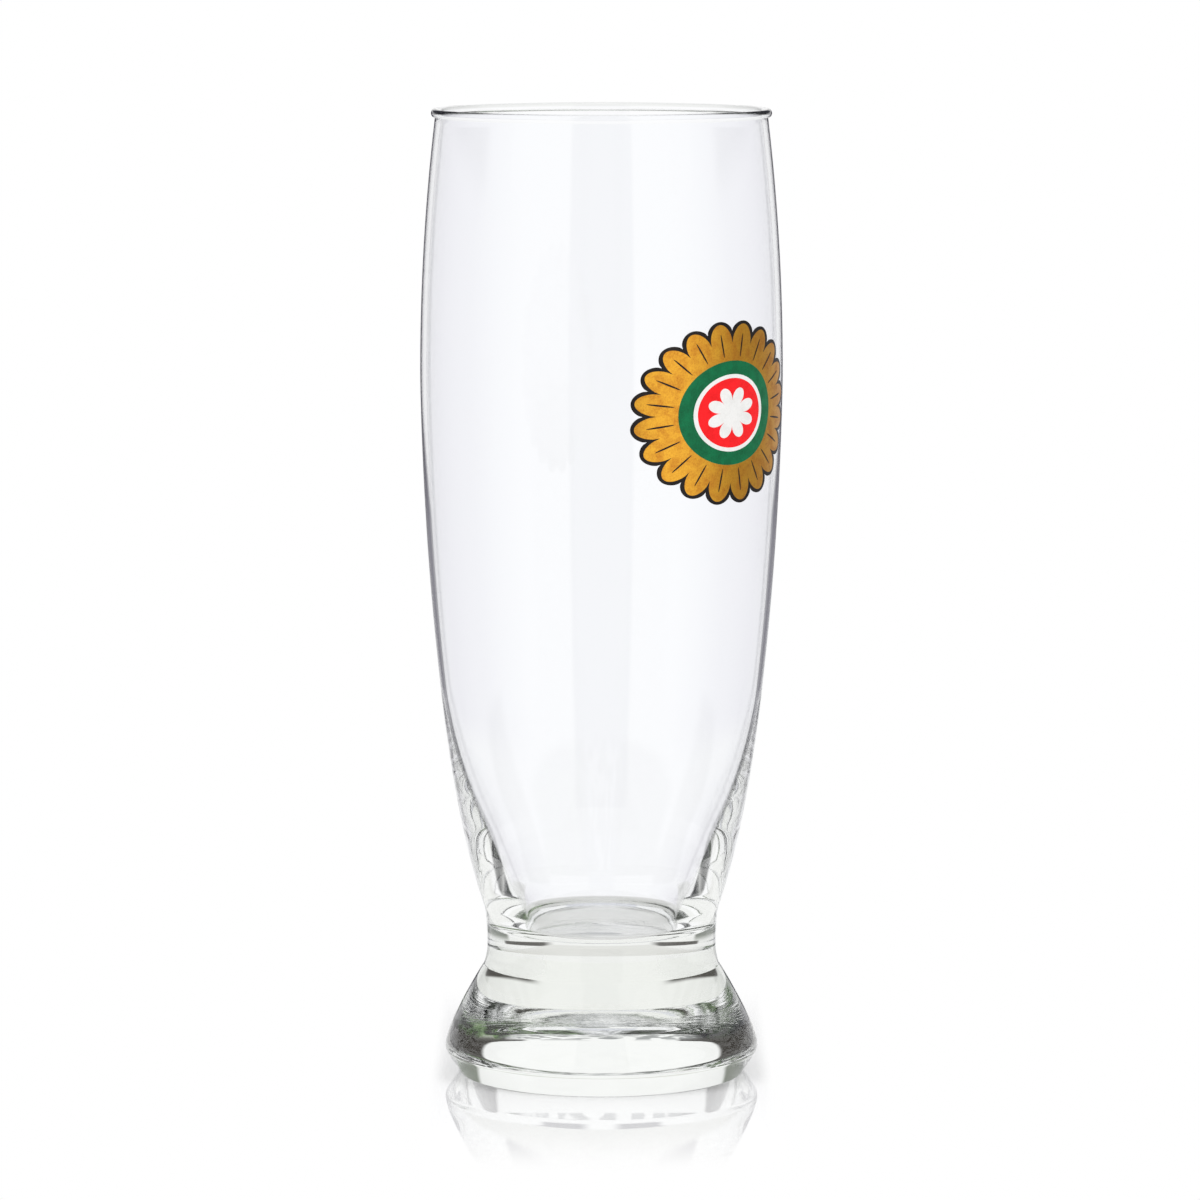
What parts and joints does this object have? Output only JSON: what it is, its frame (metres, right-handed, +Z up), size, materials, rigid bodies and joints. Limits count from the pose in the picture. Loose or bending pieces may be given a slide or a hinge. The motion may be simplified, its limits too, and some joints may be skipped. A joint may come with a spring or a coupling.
{
  "type": "footed beer glass",
  "caption": "Tall clear beer glass: a slim bellied bowl with a beaded rim on a short solid stem and a flared foot, with an oval enamel medallion.",
  "frame": {"origin": "on the axis of the glass at the level of the table it stands on", "axes": "+Z up along the axis of the glass to its mouth, -Y towards the front that the picture shows, +X to the right"},
  "size_m": [0.0658, 0.0658, 0.176],
  "materials": {
    "clear_glass": "clear soda-lime glass with a faint green tint where it is thick, fire polished",
    "white_enamel": "opaque white enamel fired on glass, satin gloss",
    "red_enamel": "opaque red enamel fired on glass, satin gloss",
    "green_enamel": "opaque dark green enamel fired on glass, satin gloss",
    "gold_enamel": "metallic gold ink fired on glass",
    "black_enamel": "opaque black enamel fired on glass, satin gloss"
  },
  "bodies": {
    "root": {"foot": "clear_glass", "stem": "clear_glass", "bowl": "clear_glass", "print_rosette": "white_enamel", "print_field": "red_enamel", "print_keyline": "white_enamel", "print_band": "green_enamel", "print_rays": "gold_enamel", "print_outline": "black_enamel"}
  },
  "joints": []
}
